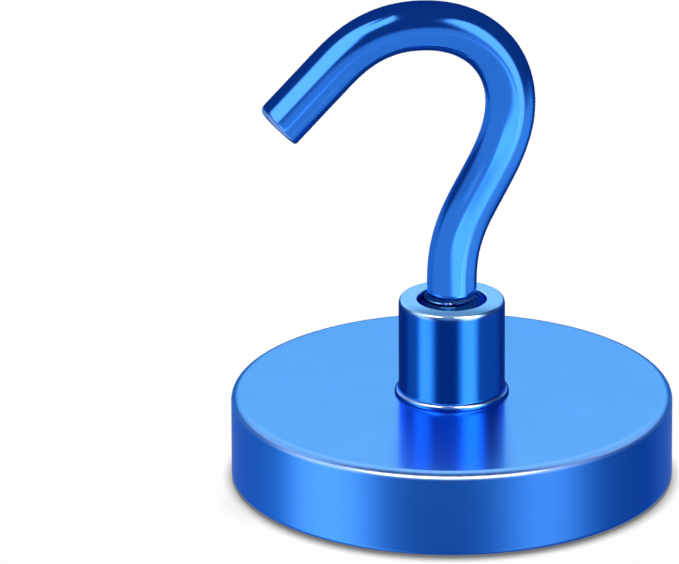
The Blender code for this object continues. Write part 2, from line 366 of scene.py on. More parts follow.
def grid_mesh(name, patches, marked=()):
    """One mesh from patches of points, each (points, marks).

    The points have the shape rows, columns, 3. The marks give each attribute that is named a value
    for each row of the patch, or for each point.
    """
    count = 0
    points, faces = [], []
    marks = {mark: [] for mark in marked}
    for grid, values in patches:
        rows, columns = grid.shape[:2]
        points.append(grid.reshape(-1, 3))
        faces.append(grid_faces(rows, columns, count))
        for mark, kept in marks.items():
            value = np.asarray(values.get(mark, 0.0), dtype=float)
            value = value[:, None] if value.ndim == 1 else value
            kept.append(np.broadcast_to(value, (rows, columns)).reshape(-1))
        count += rows * columns
    mesh = bpy.data.meshes.new(name)
    mesh.from_pydata(np.concatenate(points).tolist(), [], np.concatenate(faces).tolist())
    for mark, kept in marks.items():
        mesh.attributes.new(mark, "FLOAT", "POINT").data.foreach_set("value", np.concatenate(kept))
    return mesh


def add_object(name, data):
    """A new object in the scene."""
    made = bpy.data.objects.new(name, data)
    bpy.context.scene.collection.objects.link(made)
    return made


def add_piece(name, patches, made, body, node):
    """A closed piece that rides on a body and stands for a CAD node.

    Points that fall together are merged, which closes the seams between patches and the poles.
    """
    mesh = grid_mesh(name, patches, ("turned_face", "wear_and_painted_highlight", "painted_shade"))
    shape = bmesh.new()
    shape.from_mesh(mesh)
    bmesh.ops.remove_doubles(shape, verts=shape.verts, dist=MERGE_DISTANCE)
    bmesh.ops.recalc_face_normals(shape, faces=shape.faces)
    open_edges = sum(1 for edge in shape.edges if len(edge.link_faces) != 2)
    shape.to_mesh(mesh)
    shape.free()
    if open_edges:
        raise RuntimeError(f"{name} has {open_edges} open edges")
    mesh.shade_smooth()
    mesh.set_sharp_from_angle(angle=SHARP_ANGLE)
    mesh.materials.append(made)
    piece = add_object(name, mesh)
    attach(piece, body)
    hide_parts(node)
    piece.visible_diffuse = False
    return piece


def held(profile, marks):
    """The profile with a point added close to each end of its long stretches.

    These keep the shading of an edge from spreading over the flat beside it. The marks are carried
    along, as the same share of the way between their neighbours.
    """
    points = np.asarray(profile, dtype=float)
    length = np.hypot(*np.diff(points, axis=0).T)
    at = np.concatenate([[0], np.cumsum(length)])
    long = np.flatnonzero(length > HELD_STRETCH)
    extra = np.concatenate([at[long] + HOLD, at[long + 1] - HOLD])
    every = np.sort(np.concatenate([at, extra]))
    fuller = np.stack([np.interp(every, at, points[:, 0]), np.interp(every, at, points[:, 1])], axis=1)
    return fuller, {mark: np.interp(every, at, value) for mark, value in marks.items()}


def turned(profile, sides):
    """Points of a turned surface: (radius cos v, radius sin v, height), v from 0 to a full turn."""
    radius, height = np.asarray(profile, dtype=float).T
    v = TURN * np.arange(sides + 1) / sides
    x = radius[:, None] * np.cos(v)
    y = radius[:, None] * np.sin(v)
    z = np.broadcast_to(height[:, None], x.shape)
    return np.stack([x, y, z], axis=-1)


def arc(radius_at, height_at, width, height, start, end, steps):
    """Profile points on an ellipse: (centre + width cos a, centre + height sin a), a in degrees."""
    a = np.radians(np.linspace(start, end, steps + 1))
    return list(zip(radius_at + width * np.cos(a), height_at + height * np.sin(a)))


def ridge_at(share):
    """Height of the thread's ridge, 0 to 1, at a share of the pitch."""
    shares, heights = np.asarray(RIDGE).T
    return np.interp(share, shares, heights, period=1.0)


def thread(core, sizes, start, low, high, lead_in=None):
    """Points of a threaded wall between two heights.

    With v from 0 to 1 round the axis, the radius is the core's plus the thread's depth times the
    ridge's height at the share (z - start) / pitch - v. The rows follow the helix
    z = start + pitch (row + v), held between low and high, so that they run along the crest, and
    the end of each row meets the start of the row one pitch up. With a lead-in the ridge rises
    over that length above low, and runs out below high.
    """
    v = np.arange(sizes.sides + 1) / sizes.sides
    turns = np.arange(-SPARE_TURNS, math.ceil((high - start) / sizes.thread_pitch) + SPARE_TURNS)
    rows = (turns[:, None] + np.asarray(RIDGE)[:, 0]).reshape(-1)
    z = np.clip(start + sizes.thread_pitch * (rows[:, None] + v), low, high)
    depth = sizes.thread_depth * ridge_at((z - start) / sizes.thread_pitch - v)
    if lead_in:
        depth = depth * np.clip(np.minimum((z - low) / lead_in, (high - z) / THREAD_RUN_OUT), 0, 1)
    radius = core + depth
    return np.stack([radius * np.cos(TURN * v), radius * np.sin(TURN * v), z], axis=-1)


def thread_marks(sizes, start, high):
    """Marks for a thread's rows: the pale edge colour on the crests, partly wear and partly a painted
    highlight, and painted shade between them.
    """
    turns = math.ceil((high - start) / sizes.thread_pitch) + 2 * SPARE_TURNS
    crest = np.tile(np.asarray(RIDGE)[:, 1] > CREST_SHARE, turns)
    return {"wear_and_painted_highlight": WEAR_AND_HIGHLIGHT_AT_CREST * crest, "painted_shade": 1.0 - crest}


def thread_end(core, sizes, start, at, radius):
    """Two rows at one height: the edge of a threaded wall there, and a circle."""
    v = np.arange(sizes.sides + 1) / sizes.sides
    edge = core + sizes.thread_depth * ridge_at((at - start) / sizes.thread_pitch - v)
    radii = np.stack([edge, np.full_like(v, radius)])
    return np.stack([radii * np.cos(TURN * v), radii * np.sin(TURN * v), np.full_like(radii, at)], axis=-1)


# Finishes


def add_node(tree, kind, place, **values):
    """A node at a place in the tree, with properties and input values set by name."""
    made = tree.nodes.new(kind)
    made.location = place
    for name, value in values.items():
        if name in made.bl_rna.properties:
            setattr(made, name, value)
        else:
            made.inputs[name.replace("_", " ")].default_value = value
    return made


def feed(tree, socket, value):
    """Links a socket to another one, or gives it a value."""
    if isinstance(value, bpy.types.NodeSocket):
        tree.links.new(value, socket)
    elif value is not None:
        socket.default_value = value


def maths(tree, operation, place, first, second=None, third=None):
    """A Math node whose inputs are sockets or numbers: its output."""
    made = tree.nodes.new("ShaderNodeMath")
    made.operation = operation
    made.location = place
    for socket, value in zip(made.inputs, (first, second, third)):
        feed(tree, socket, value)
    return made.outputs[0]


def blend_colour(tree, place, factor, first, second, blend_type="MIX"):
    """A Mix node for colours whose inputs are sockets or values: its output."""
    made = tree.nodes.new("ShaderNodeMix")
    made.data_type = "RGBA"
    made.blend_type = blend_type
    made.location = place
    feed(tree, made.inputs[0], factor)
    feed(tree, made.inputs[6], first)
    feed(tree, made.inputs[7], second)
    return made.outputs[2]


def noise(tree, place, vector, **values):
    """A noise texture over a vector."""
    made = add_node(tree, "ShaderNodeTexNoise", place, **values)
    tree.links.new(vector, made.inputs["Vector"])
    return made


def ranged(tree, place, value, low, high):
    """A value from 0 to 1, brought to the range from low to high."""
    made = add_node(tree, "ShaderNodeMapRange", place, To_Min=low, To_Max=high)
    tree.links.new(value, made.inputs["Value"])
    return made.outputs[0]


def grey(tree, place, value):
    """A value as a grey colour."""
    made = add_node(tree, "ShaderNodeCombineColor", place)
    for socket in made.inputs:
        tree.links.new(value, socket)
    return made.outputs[0]


def bump(tree, place, height, strength, distance, normal=None):
    """A bumped normal, on top of another if one is given."""
    made = add_node(tree, "ShaderNodeBump", place, Strength=strength, Distance=distance)
    tree.links.new(height, made.inputs["Height"])
    if normal:
        tree.links.new(normal, made.inputs["Normal"])
    return made.outputs[0]


def mesh_mark(tree, place, name):
    """A mark of the mesh, as a number."""
    return add_node(tree, "ShaderNodeAttribute", place, attribute_name=name).outputs["Fac"]


def object_place(tree, place):
    """The coordinates of the object."""
    return add_node(tree, "ShaderNodeTexCoord", place).outputs["Object"]


def group(name, inputs, outputs):
    """An empty shader node group with named number and colour sockets."""
    tree = bpy.data.node_groups.new(name, "ShaderNodeTree")
    for socket, kind, value in inputs:
        tree.interface.new_socket(socket, in_out="INPUT", socket_type=kind).default_value = value
    for socket, kind in outputs:
        tree.interface.new_socket(socket, in_out="OUTPUT", socket_type=kind)
    start = add_node(tree, "NodeGroupInput", (-900, 0))
    end = add_node(tree, "NodeGroupOutput", (700, 0))
    return tree, start.outputs, end.inputs


def turning_marks():
    """Fine rings left by the lathe, round Z: noise along the distance from the axis."""
    name = "turning marks"
    if name in bpy.data.node_groups:
        return bpy.data.node_groups[name]
    number = "NodeSocketFloat"
    tree, given, out = group(
        name,
        [("Rings per metre", number, 9000.0), ("Waver", number, 0.5)],
        [("Height", number), ("Shade", number)],
    )
    place = object_place(tree, (-900, 300))
    parts = add_node(tree, "ShaderNodeSeparateXYZ", (-700, 300))
    tree.links.new(place, parts.inputs[0])
    across = maths(tree, "POWER", (-500, 400), parts.outputs[0], 2.0)
    along = maths(tree, "POWER", (-500, 250), parts.outputs[1], 2.0)
    distance = maths(tree, "SQRT", (-200, 300), maths(tree, "ADD", (-350, 300), across, along))
    climb = maths(tree, "ADD", (-200, 150), distance, parts.outputs[2])
    rings = add_node(
        tree, "ShaderNodeTexNoise", (100, 250), noise_dimensions="1D", Scale=1.0, Detail=3.0, Roughness=0.6
    )
    tree.links.new(maths(tree, "MULTIPLY", (-50, 250), climb, given["Rings per metre"]), rings.inputs["W"])
    waver = noise(tree, (100, -50), place, Scale=160.0, Detail=2.0)
    soft = maths(tree, "MULTIPLY", (300, -50), waver.outputs[0], given["Waver"])
    tree.links.new(rings.outputs[0], out["Height"])
    tree.links.new(maths(tree, "ADD", (500, 0), rings.outputs[0], soft), out["Shade"])
    return tree


def lacquer_skin():
    """Flow of the lacquer: a soft orange peel, and cloudy patches where the coat is thicker."""
    name = "lacquer skin"
    if name in bpy.data.node_groups:
        return bpy.data.node_groups[name]
    number = "NodeSocketFloat"
    tree, given, out = group(
        name,
        [("Peel size", number, 0.0006), ("Flake size", number, 0.00008)],
        [("Height", number), ("Cloud", number), ("Flake", number)],
    )
    place = object_place(tree, (-900, 300))
    peel = noise(tree, (-300, 300), place, Detail=1.0)
    flake = noise(tree, (-300, -100), place, Detail=0.0)
    cloud = noise(tree, (-300, 100), place, Scale=220.0, Detail=2.0)
    tree.links.new(maths(tree, "DIVIDE", (-500, 300), 1.0, given["Peel size"]), peel.inputs["Scale"])
    tree.links.new(maths(tree, "DIVIDE", (-500, -100), 1.0, given["Flake size"]), flake.inputs["Scale"])
    tree.links.new(peel.outputs[0], out["Height"])
    tree.links.new(cloud.outputs[0], out["Cloud"])
    tree.links.new(flake.outputs[0], out["Flake"])
    return tree


def place_group(tree, made, place, **values):
    """A node group in a material, with its inputs set by name."""
    node = tree.nodes.new("ShaderNodeGroup")
    node.node_tree = made
    node.location = place
    for name, value in values.items():
        node.inputs[name.replace("_", " ")].default_value = value
    return node


def solid(colour):
    """A colour with its alpha."""
    return (*colour, 1.0)


def new_material(name):
    """A material with its Principled BSDF and its node tree."""
    made = bpy.data.materials.new(name)
    made.use_nodes = True
    shader = made.node_tree.nodes["Principled BSDF"]
    shader.location = (900, 0)
    made.node_tree.nodes["Material Output"].location = (1250, 0)
    return made, made.node_tree, shader


def blue_lacquer(name, wall, face, edge, wall_roughness, face_roughness, rings):
    """Clear blue lacquer over bright plated steel.

    The turned faces are paler and sharper than the walls; their paler colour is a painted highlight. The
    edges turn pale, partly worn thin lacquer and partly a painted highlight, the recesses are darkened with
    painted shade, and under it lie the lathe's marks. The clear coat is smooth.
    """
    made, tree, shader = new_material(name)
    turned_face = mesh_mark(tree, (-700, 500), "turned_face")
    wear_and_painted_highlight = mesh_mark(tree, (-700, 300), "wear_and_painted_highlight")
    painted_shade = mesh_mark(tree, (-700, 700), "painted_shade")
    marks = place_group(tree, turning_marks(), (-700, -100), Rings_per_metre=rings)
    skin = place_group(tree, lacquer_skin(), (-700, -350))
    # Turned faces take the paler face colour, a painted highlight
    colour = blend_colour(tree, (-400, 500), turned_face, solid(wall), solid(face))
    cloud = maths(tree, "MULTIPLY_ADD", (-400, 100), skin.outputs["Cloud"], *SPECKLE)
    flake = maths(tree, "MULTIPLY_ADD", (-400, -60), skin.outputs["Flake"], *SPECKLE)
    shade = maths(tree, "MULTIPLY", (-200, 20), cloud, flake)
    # The darker colour of the painted shade in the recesses
    painted_shade_colour = solid([part * share for part, share in zip(wall, PAINTED_SHADE_SHARE)])
    colour = blend_colour(tree, (-150, 500), painted_shade, colour, painted_shade_colour)
    shaded = blend_colour(tree, (140, 400), 1.0, colour, grey(tree, (-40, 20), shade), "MULTIPLY")
    # The pale edge colour over the marked edges: partly wear, partly a painted highlight
    wear_and_highlight_colour = blend_colour(tree, (340, 400), wear_and_painted_highlight, shaded, solid(edge))
    rough = ranged(tree, (140, 150), turned_face, wall_roughness, face_roughness)
    varied = maths(tree, "MULTIPLY_ADD", (340, 150), marks.outputs["Shade"], RING_ROUGHNESS, rough)
    lathe = bump(tree, (340, -150), marks.outputs["Height"], 0.10, LATHE_DEPTH)
    peel = bump(tree, (560, -250), skin.outputs["Height"], 0.25, PEEL_DEPTH, lathe)
    tree.links.new(wear_and_highlight_colour, shader.inputs["Base Color"])
    tree.links.new(varied, shader.inputs["Roughness"])
    tree.links.new(peel, shader.inputs["Normal"])
    shader.inputs["Metallic"].default_value = 1.0
    shader.inputs["Specular Tint"].default_value = solid(EDGE_TINT)
    shader.inputs["Coat Weight"].default_value = COAT
    shader.inputs["Coat Roughness"].default_value = COAT_ROUGHNESS
    return made


def nickel_plate(colour):
    """Satin nickel plate with a fine grain."""
    made, tree, shader = new_material("magnet nickel")
    place = object_place(tree, (-700, 200))
    grain = noise(tree, (-450, 200), place, Scale=9000.0, Detail=2.0).outputs[0]
    cloud = noise(tree, (-450, 0), place, Scale=300.0, Detail=2.0).outputs[0]
    shade = grey(tree, (0, 200), ranged(tree, (-200, 200), grain, low=0.90, high=1.06))
    shaded = blend_colour(tree, (200, 200), 1.0, solid(colour), shade, "MULTIPLY")
    tree.links.new(shaded, shader.inputs["Base Color"])
    tree.links.new(ranged(tree, (0, 0), cloud, low=0.30, high=0.44), shader.inputs["Roughness"])
    tree.links.new(bump(tree, (200, -200), grain, 0.35, GRAIN_DEPTH), shader.inputs["Normal"])
    shader.inputs["Metallic"].default_value = 1.0
    return made


def cast_resin(colour):
    """Dark cast resin, slightly uneven where it set."""
    made, tree, shader = new_material("resin black")
    place = object_place(tree, (-700, 200))
    ripple = noise(tree, (-450, 200), place, Scale=900.0, Detail=3.0).outputs[0]
    paler = solid([RESIN_CLOUD * part for part in colour])
    shade = blend_colour(tree, (-150, 300), ripple, solid(colour), paler)
    tree.links.new(shade, shader.inputs["Base Color"])
    tree.links.new(ranged(tree, (-150, 0), ripple, low=0.35, high=0.60), shader.inputs["Roughness"])
    tree.links.new(bump(tree, (100, -200), ripple, 0.4, RIPPLE_DEPTH), shader.inputs["Normal"])
    return made


# Pieces


class HOOK_OT_cup(bpy.types.Operator):
    """The steel cup: its profile is turned round the axis."""

    bl_idname = "hook.cup"
    bl_label = "Cup"

    def execute(self, context):
        sizes, colours, _ = settings()
        radius = sizes.cup_diameter / 2
        pocket = radius - sizes.cup_wall
        pocket_top = sizes.cup_height - sizes.cup_floor
        hole = sizes.spigot_radius + sizes.seat_gap
        top, rim = sizes.cup_top_round, sizes.cup_rim_round
        profile = [(hole, sizes.cup_height)]
        profile += arc(radius - top, sizes.cup_height - top, top, top, 90, 0, FINE_STEPS)
        fillet_end = len(profile)
        profile += arc(radius - rim, rim, rim, rim, 0, -90, FINE_STEPS)
        profile += [(pocket + POCKET_CHAMFER, 0), (pocket, POCKET_CHAMFER), (pocket, pocket_top)]
        profile += [(hole + LIP_WIDTH, pocket_top), (hole, pocket_top + LIP_WIDTH), profile[0]]
        face = np.zeros(len(profile))
        face[:2] = 1
        face[2:fillet_end] = np.linspace(1, 0, fillet_end - 2)
        # Painted highlight, partly wear, along the rounding of the cup's back, strongest at the given share
        # of it
        edge = np.zeros(len(profile))
        down = np.linspace(0, 1, fillet_end - 1)
        edge[1:fillet_end] = np.clip(1 - np.abs(down - WEAR_AND_HIGHLIGHT_CUP_CENTRE) / WEAR_AND_HIGHLIGHT_CUP_REACH, 0, 1)
        made = blue_lacquer("cup blue", colours.cup_wall, colours.cup_face_painted_highlight, colours.edge, *CUP_FINISH)
        profile, marks = held(profile, {"turned_face": face, "wear_and_painted_highlight": WEAR_AND_HIGHLIGHT_AT_CUP * edge})
        patches = [(turned(profile, sizes.sides), marks)]
        add_piece("cup_shell", patches, made, "base", "cup").visible_glossy = False
        return {"FINISHED"}


class HOOK_OT_magnet(bpy.types.Operator):
    """The disc magnet, turned round the axis, flush with the cup's rim."""

    bl_idname = "hook.magnet"
    bl_label = "Magnet"

    def execute(self, context):
        sizes, colours, _ = settings()
        radius = sizes.cup_diameter / 2 - sizes.cup_wall - sizes.resin_space
        top = sizes.cup_height - sizes.cup_floor - sizes.resin_space
        rounding = MAGNET_ROUND
        profile = [(0, top)]
        profile += arc(radius - rounding, top - rounding, rounding, rounding, 90, 0, COARSE_STEPS)
        profile += arc(radius - rounding, rounding, rounding, rounding, 0, -90, COARSE_STEPS)
        profile += [(0, 0)]
        patches = [(turned(held(profile, {})[0], sizes.sides), {})]
        made = nickel_plate(colours.nickel)
        add_piece("magnet", patches, made, "base", "magnet_disc").visible_glossy = False
        return {"FINISHED"}


class HOOK_OT_resin(bpy.types.Operator):
    """The cast resin: a bed behind the magnet and a ring round it, turned round the axis."""

    bl_idname = "hook.resin"
    bl_label = "Resin"

    def execute(self, context):
        sizes, colours, _ = settings()
        pocket = sizes.cup_diameter / 2 - sizes.cup_wall
        pocket_top = sizes.cup_height - sizes.cup_floor
        outer, inner = pocket - sizes.seat_gap, pocket - sizes.resin_space + sizes.seat_gap
        top, bed = pocket_top - sizes.seat_gap, pocket_top - sizes.resin_space + sizes.seat_gap
        middle, half = (outer + inner) / 2, (outer - inner) / 2
        profile = [(0, top), (outer, top)]
        profile += arc(middle, sizes.resin_recess, half, MENISCUS, 0, 180, COARSE_STEPS)
        profile += [(inner, bed), (0, bed)]
        patches = [(turned(held(profile, {})[0], sizes.sides), {})]
        made = cast_resin(colours.resin)
        add_piece("resin_ring", patches, made, "base", "resin_bond").visible_glossy = False
        return {"FINISHED"}


class HOOK_OT_boss(bpy.types.Operator):
    """The threaded boss: a turned profile with a bead at its foot, and a tapped hole."""

    bl_idname = "hook.boss"
    bl_label = "Boss"

    def execute(self, context):
        sizes, colours, _ = settings()
        seat = sizes.cup_height + sizes.seat_gap
        top = sizes.cup_height + sizes.boss_height
        floor = top - sizes.mouth_depth
        foot = sizes.cup_height - sizes.cup_floor
        core = sizes.thread_diameter / 2 + sizes.thread_clearance
        bead_top = seat + BEAD_HEIGHT
        profile = [(sizes.mouth_radius, floor)]
        profile += arc(
            sizes.mouth_radius + MOUTH_CHAMFER, top - MOUTH_CHAMFER, MOUTH_CHAMFER, MOUTH_CHAMFER,
            180, 90, COARSE_STEPS,
        )
        mouth_end = len(profile)
        profile += arc(
            sizes.boss_radius - BOSS_ROUND_WIDTH, top - BOSS_ROUND_HEIGHT,
            BOSS_ROUND_WIDTH, BOSS_ROUND_HEIGHT, 90, 0, FINE_STEPS,
        )
        round_end = len(profile)
        fillet_at = sizes.boss_radius + BEAD_FILLET
        profile += arc(fillet_at, bead_top + BEAD_FILLET, BEAD_FILLET, BEAD_FILLET, 180, 230, COARSE_STEPS)
        bead_start = len(profile)
        profile += arc(sizes.boss_radius, seat, BEAD_WIDTH, BEAD_HEIGHT, 70, 0, FINE_STEPS)
        profile += [(sizes.spigot_radius, seat), (sizes.spigot_radius, foot + LIP_WIDTH)]
        profile += [(sizes.spigot_radius + LIP_WIDTH, foot)]
        face = np.zeros(len(profile))
        face[1 : mouth_end + 1] = 1
        face[mouth_end:round_end] = np.linspace(1, 0, round_end - mouth_end)
        # Painted highlight, partly wear, on the top's round, the mouth's chamfer and the bead
        edge = np.zeros(len(profile))
        over = np.linspace(0, 1, round_end - mouth_end)
        edge[mouth_end:round_end] = WEAR_AND_HIGHLIGHT_AT_BOSS * np.sin(np.pi * over) ** 2
        edge[1:mouth_end] = WEAR_AND_HIGHLIGHT_AT_MOUTH
        edge[bead_start + 1 : bead_start + 1 + FINE_STEPS // 2] = WEAR_AND_HIGHLIGHT_AT_BEAD
        # Painted shade in the boss's mouth
        painted_shade = np.zeros(len(profile))
        painted_shade[:2] = 1
        profile, marks = held(profile, {"turned_face": face, "wear_and_painted_highlight": edge, "painted_shade": painted_shade})
        made = blue_lacquer("boss blue", colours.boss_wall, colours.boss_face_painted_highlight, colours.edge, *BOSS_FINISH)
        lip = sizes.spigot_radius + LIP_WIDTH
        patches = [
            (turned(profile, sizes.sides), marks),
            (thread_end(core, sizes, foot, floor, sizes.mouth_radius), {"painted_shade": np.ones(2)}),
            (thread(core, sizes, foot, foot, floor), thread_marks(sizes, foot, floor)),
            (thread_end(core, sizes, foot, foot, lip), {}),
        ]
        add_piece("boss", patches, made, "base", "threaded_boss")
        return {"FINISHED"}


def eased(share):
    """0 to 1 with a gentle start and end: 3 s² - 2 s³, held at its ends."""
    share = np.clip(share, 0, 1)
    return share * share * (3 - 2 * share)


def hook_path(start_height):
    """Distances, directions and points of the rod's centreline in the XZ plane.

    The direction starts upwards, and each bend adds its turn times eased((distance - start) /
    length). The points are the sum of the steps in the direction halfway along each step.
    """
    length = BENDS[-1][0] + BENDS[-1][1] + TIP_STRAIGHT
    along = np.linspace(0, length, PATH_STEPS + 1)
    heading = np.full_like(along, math.pi / 2)
    for start, bend_length, degrees in BENDS:
        heading += math.radians(degrees) * eased((along - start) / bend_length)
    middle = (heading[1:] + heading[:-1]) / 2
    step = np.diff(along)
    x = np.concatenate([[0], np.cumsum(step * np.cos(middle))])
    z = start_height + np.concatenate([[0], np.cumsum(step * np.sin(middle))])
    return along, heading, x, z


def rod(path, index, radii, forward):
    """Points round the rod at some places on its path.

    With u round the rod from the outer side of its bow, a point is the path's, plus radius cos u
    across the path in its plane, plus radius sin u along Y, plus a shift along the path.
    """
    _, heading, x, z = path
    turn = heading[index][:, None]
    u = TURN * np.arange(radii.shape[1]) / (radii.shape[1] - 1)
    outwards = radii * np.cos(u)
    xs = x[index][:, None] + outwards * np.sin(turn) + forward * np.cos(turn)
    zs = z[index][:, None] - outwards * np.cos(turn) + forward * np.sin(turn)
    return np.stack([xs, radii * np.sin(u), zs], axis=-1)


class HOOK_OT_hook(bpy.types.Operator):
    """The bent hook: a round section carried along its path, with a threaded stud at its foot."""

    bl_idname = "hook.hook"
    bl_label = "Hook"

    def execute(self, context):
        sizes, colours, _ = settings()
        radius = sizes.rod_diameter / 2
        core = sizes.thread_diameter / 2 - sizes.thread_depth
        shoulder = sizes.cup_height + sizes.boss_height + SHOULDER_RISE
        stud_foot = sizes.cup_height - sizes.cup_floor + STUD_SETBACK
        path = hook_path(shoulder)
        along = path[0]
        columns = sizes.sides + 1
        quarter = np.linspace(0, np.pi / 2, FINE_STEPS + 1)[:, None]
        level = np.zeros((FINE_STEPS + 1, columns))

        start = np.zeros(FINE_STEPS + 1, dtype=int)
        shoulder_radii = level + radius - SHOULDER_ROUND_WIDTH * (1 - np.sin(quarter))
        shoulder_rise = level + SHOULDER_ROUND_HEIGHT * (1 - np.cos(quarter))
        shoulder_rows = rod(path, start, shoulder_radii, shoulder_rise)
        ring = rod(path, start[:1], level[:1] + core, level[:1])

        middle = np.arange(RING_STEP, len(along), RING_STEP)
        past_shoulder = along[middle] > SHOULDER_ROUND_HEIGHT
        middle = middle[past_shoulder & (along[middle] < along[-1] - TIP_OUTER_ROUND)]
        shaft = np.zeros((len(middle), columns))
        shaft_rows = rod(path, middle, shaft + radius, shaft)

        outer_share = (1 + np.cos(TURN * np.arange(columns) / sizes.sides)) / 2
        corner = TIP_INNER_ROUND + (TIP_OUTER_ROUND - TIP_INNER_ROUND) * outer_share
        last = np.full(FINE_STEPS + 1, len(along) - 1)
        tip_rows = rod(path, last, radius - corner * (1 - np.cos(quarter)), -corner * (1 - np.sin(quarter)))
        shares = np.linspace(1, 0, COARSE_STEPS + 1)[1:, None]
        face_radii = shares * (radius - corner)
        face_rows = rod(path, last[: len(shares)], face_radii, np.zeros_like(face_radii))

        rows = np.concatenate([ring, shoulder_rows, shaft_rows, tip_rows, face_rows])
        stud = thread(core, sizes, stud_foot, stud_foot, shoulder, THREAD_LEAD_IN)
        cap = turned([(core, stud_foot), (0, stud_foot)], sizes.sides)
        # Painted highlight, partly wear, on the rounding of the tip
        edge = np.zeros(len(rows))
        tip_start = len(rows) - len(face_rows) - len(tip_rows)
        edge[tip_start : tip_start + len(tip_rows)] = WEAR_AND_HIGHLIGHT_AT_TIP * np.sin(2 * quarter[:, 0]) ** 2
        # Painted shade, fading up the hook's shoulder
        painted_shade = np.zeros(len(rows))
        painted_shade[: 1 + len(shoulder_rows)] = np.linspace(1, 0, 1 + len(shoulder_rows))
        made = blue_lacquer("hook blue", colours.rod, colours.rod, colours.edge, *HOOK_FINISH)
        patches = [
            (rows, {"wear_and_painted_highlight": edge, "painted_shade": painted_shade}),
            (stud, thread_marks(sizes, stud_foot, shoulder)),
            (cap, {}),
        ]
        add_piece("bent_hook", patches, made, "hook", "hook").visible_glossy = False
        return {"FINISHED"}


# Stage


def direction(azimuth, elevation):
    """Unit vector at degrees to the right of the camera, seen from the hook, and above the table."""
    turn = math.radians(CAMERA_AZIMUTH)
    a, e = np.radians(azimuth), np.radians(elevation)
    x = np.sin(a) * np.cos(e) * math.cos(turn) + np.cos(a) * np.cos(e) * math.sin(turn)
    y = np.sin(a) * np.cos(e) * math.sin(turn) - np.cos(a) * np.cos(e) * math.cos(turn)
    return np.stack([x, y, np.sin(e) + 0 * a], axis=-1)


def glow_at(azimuth, elevation, boxes):
    """Brightness of the light dome: at each place, that of the strongest softbox there.

    A softbox follows a line through some points. Its brightness falls from full to nothing, as an
    eased step, where the distance to that line, in degrees, passes its half width.
    """
    glow = np.zeros_like(azimuth)
    for _, strength, half_width, softness, line in boxes:
        for (a0, e0), (a1, e1) in zip(line, line[1:]):
            across = (azimuth - a0 + 180) % 360 - 180 if abs(a1 - a0) < 360 else azimuth - a0
            up = elevation - e0
            span = (a1 - a0) ** 2 + (e1 - e0) ** 2
            share = np.clip((across * (a1 - a0) + up * (e1 - e0)) / span, 0, 1)
            distance = np.hypot(across - share * (a1 - a0), up - share * (e1 - e0))
            glow = np.maximum(glow, strength * eased((half_width - distance) / softness + 0.5))
    return glow


def light_dome(name, boxes, pieces, radius, reach=None):
    """Softboxes on a sphere round the hook: azimuth and elevation in even steps.

    They light only the pieces given, which mirror them, and don't show to the camera or cast a
    shadow. Their red, green and blue are powers of the glow. With a reach, in metres past the
    sphere's radius, the light fades out along it as the mirrored rays grow longer, and there is no
    even glow between the boxes.
    """
    azimuth, elevation = np.meshgrid(
        np.linspace(-180, 180, DOME_COLUMNS + 1), np.linspace(-90, 90, DOME_ROWS + 1)
    )
    points = radius * direction(azimuth, elevation) + np.array([0, 0, DOME_HEIGHT])
    glow = glow_at(azimuth, elevation, boxes) + (0 if reach else ROOM_GLOW)
    mesh = grid_mesh(name, [(points, {"glow": glow})], ("glow",))
    made = bpy.data.materials.new(name)
    made.use_nodes = True
    tree = made.node_tree
    tree.nodes.clear()
    glow = mesh_mark(tree, (-500, 0), "glow")
    light = add_node(tree, "ShaderNodeEmission", (0, 0), Strength=1.0)
    colour = add_node(tree, "ShaderNodeCombineColor", (-150, 100))
    for row, (socket, power) in enumerate(zip(colour.inputs, GLOW_POWERS)):
        tree.links.new(maths(tree, "POWER", (-330, 250 - 150 * row), glow, power), socket)
    tree.links.new(colour.outputs[0], light.inputs["Color"])
    if reach:
        near, far = (radius + distance for distance in reach)
        fade = add_node(
            tree, "ShaderNodeMapRange", (-300, -350), interpolation_type="SMOOTHSTEP",
            From_Min=near, From_Max=far, To_Min=1.0, To_Max=0.0,
        )
        travelled = add_node(tree, "ShaderNodeLightPath", (-600, -350)).outputs["Ray Length"]
        tree.links.new(travelled, fade.inputs["Value"])
        tree.links.new(fade.outputs[0], light.inputs["Strength"])
    both = add_node(tree, "ShaderNodeAddShader", (300, 0))
    tree.links.new(light.outputs[0], both.inputs[0])
    tree.links.new(add_node(tree, "ShaderNodeBsdfTransparent", (0, -200)).outputs[0], both.inputs[1])
    tree.links.new(both.outputs[0], add_node(tree, "ShaderNodeOutputMaterial", (500, 0)).inputs[0])
    made.cycles.emission_sampling = "NONE"
    mesh.materials.append(made)
    dome = add_object(name, mesh)
    dome.visible_camera = False
    dome.visible_diffuse = False
    dome.visible_shadow = False
    dome.light_linking.receiver_collection = collection_of(f"lit by {name}", pieces)


def collection_of(name, pieces):
    """A collection, outside the scene, of the objects with these names."""
    made = bpy.data.collections.new(name)
    for piece in pieces:
        made.objects.link(bpy.data.objects[piece])
    return made


def table_lamp(power):
    """A round lamp high over the cup, which lights only the table and gives the cup its shadow."""
    made = bpy.data.lights.new("table lamp", "AREA")
    made.shape = "DISK"
    made.size = TABLE_LAMP_SIZE
    made.energy = power
    made.cycles.use_multiple_importance_sampling = False
    towards = Vector(direction(*TABLE_LAMP_PLACE))
    lamp = add_object("table lamp", made)
    turn = towards.to_track_quat("Z", "Y").to_matrix().to_4x4()
    lamp.matrix_world = Matrix.Translation(towards * DOME_RADIUS) @ turn
    lamp.light_linking.receiver_collection = collection_of("lit by the table lamp", ["table"])
    lamp.visible_camera = False


